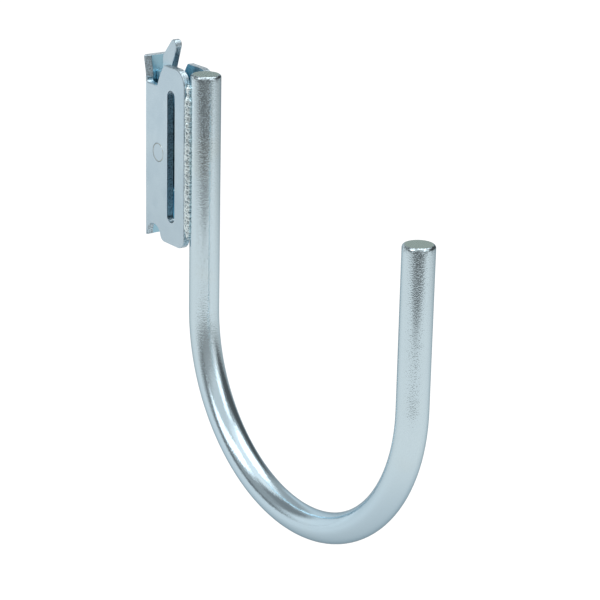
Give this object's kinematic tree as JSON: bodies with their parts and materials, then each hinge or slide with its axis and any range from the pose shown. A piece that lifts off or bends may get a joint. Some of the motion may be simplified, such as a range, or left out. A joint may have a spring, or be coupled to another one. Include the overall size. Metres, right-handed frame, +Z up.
{
  "type": "utility hook",
  "caption": "Deep round-bar J hook welded to a folded sheet-steel fitting with a sprung latch lever that locks into a slotted cargo rail.",
  "frame": {"origin": "middle of the fitting's back face, level with the latch rivet and halfway up the fitting", "axes": "+X out from the wall, +Z up, +Y along the rail; the hook opens upwards and outwards"},
  "size_m": [0.1837, 0.0158, 0.1875],
  "materials": {
    "bar": "bright zinc plate on drawn round bar, slightly grainy, darker where the bend is stretched",
    "sheet": "bright zinc plate with a blue cast on smooth sheet, rougher on the sheared edges",
    "weld": "rippled arc weld under the same zinc plate, dull and speckled",
    "lever": "bright zinc plate on smooth sheet",
    "rivet": "zinc plate, end faces flush and finely ground",
    "spring": "bare hard-drawn spring wire"
  },
  "bodies": {
    "hook": {"hook_rod": "bar", "fitting_body": "sheet", "weld_beads": "weld", "latch_rivet": "rivet", "latch_spring": "spring"},
    "latch": {"latch_lever": "lever"}
  },
  "joints": [
    {"name": "latch_pivot", "type": "hinge", "parent": "hook", "child": "latch", "pos_m": [0.0119, 0, 0], "axis": [0, 1, 0], "range_deg": [0, 10], "stiffness_Nm_per_rad": 0.25, "springref_deg": -28.65, "deforming": ["latch_spring"]}
  ]
}
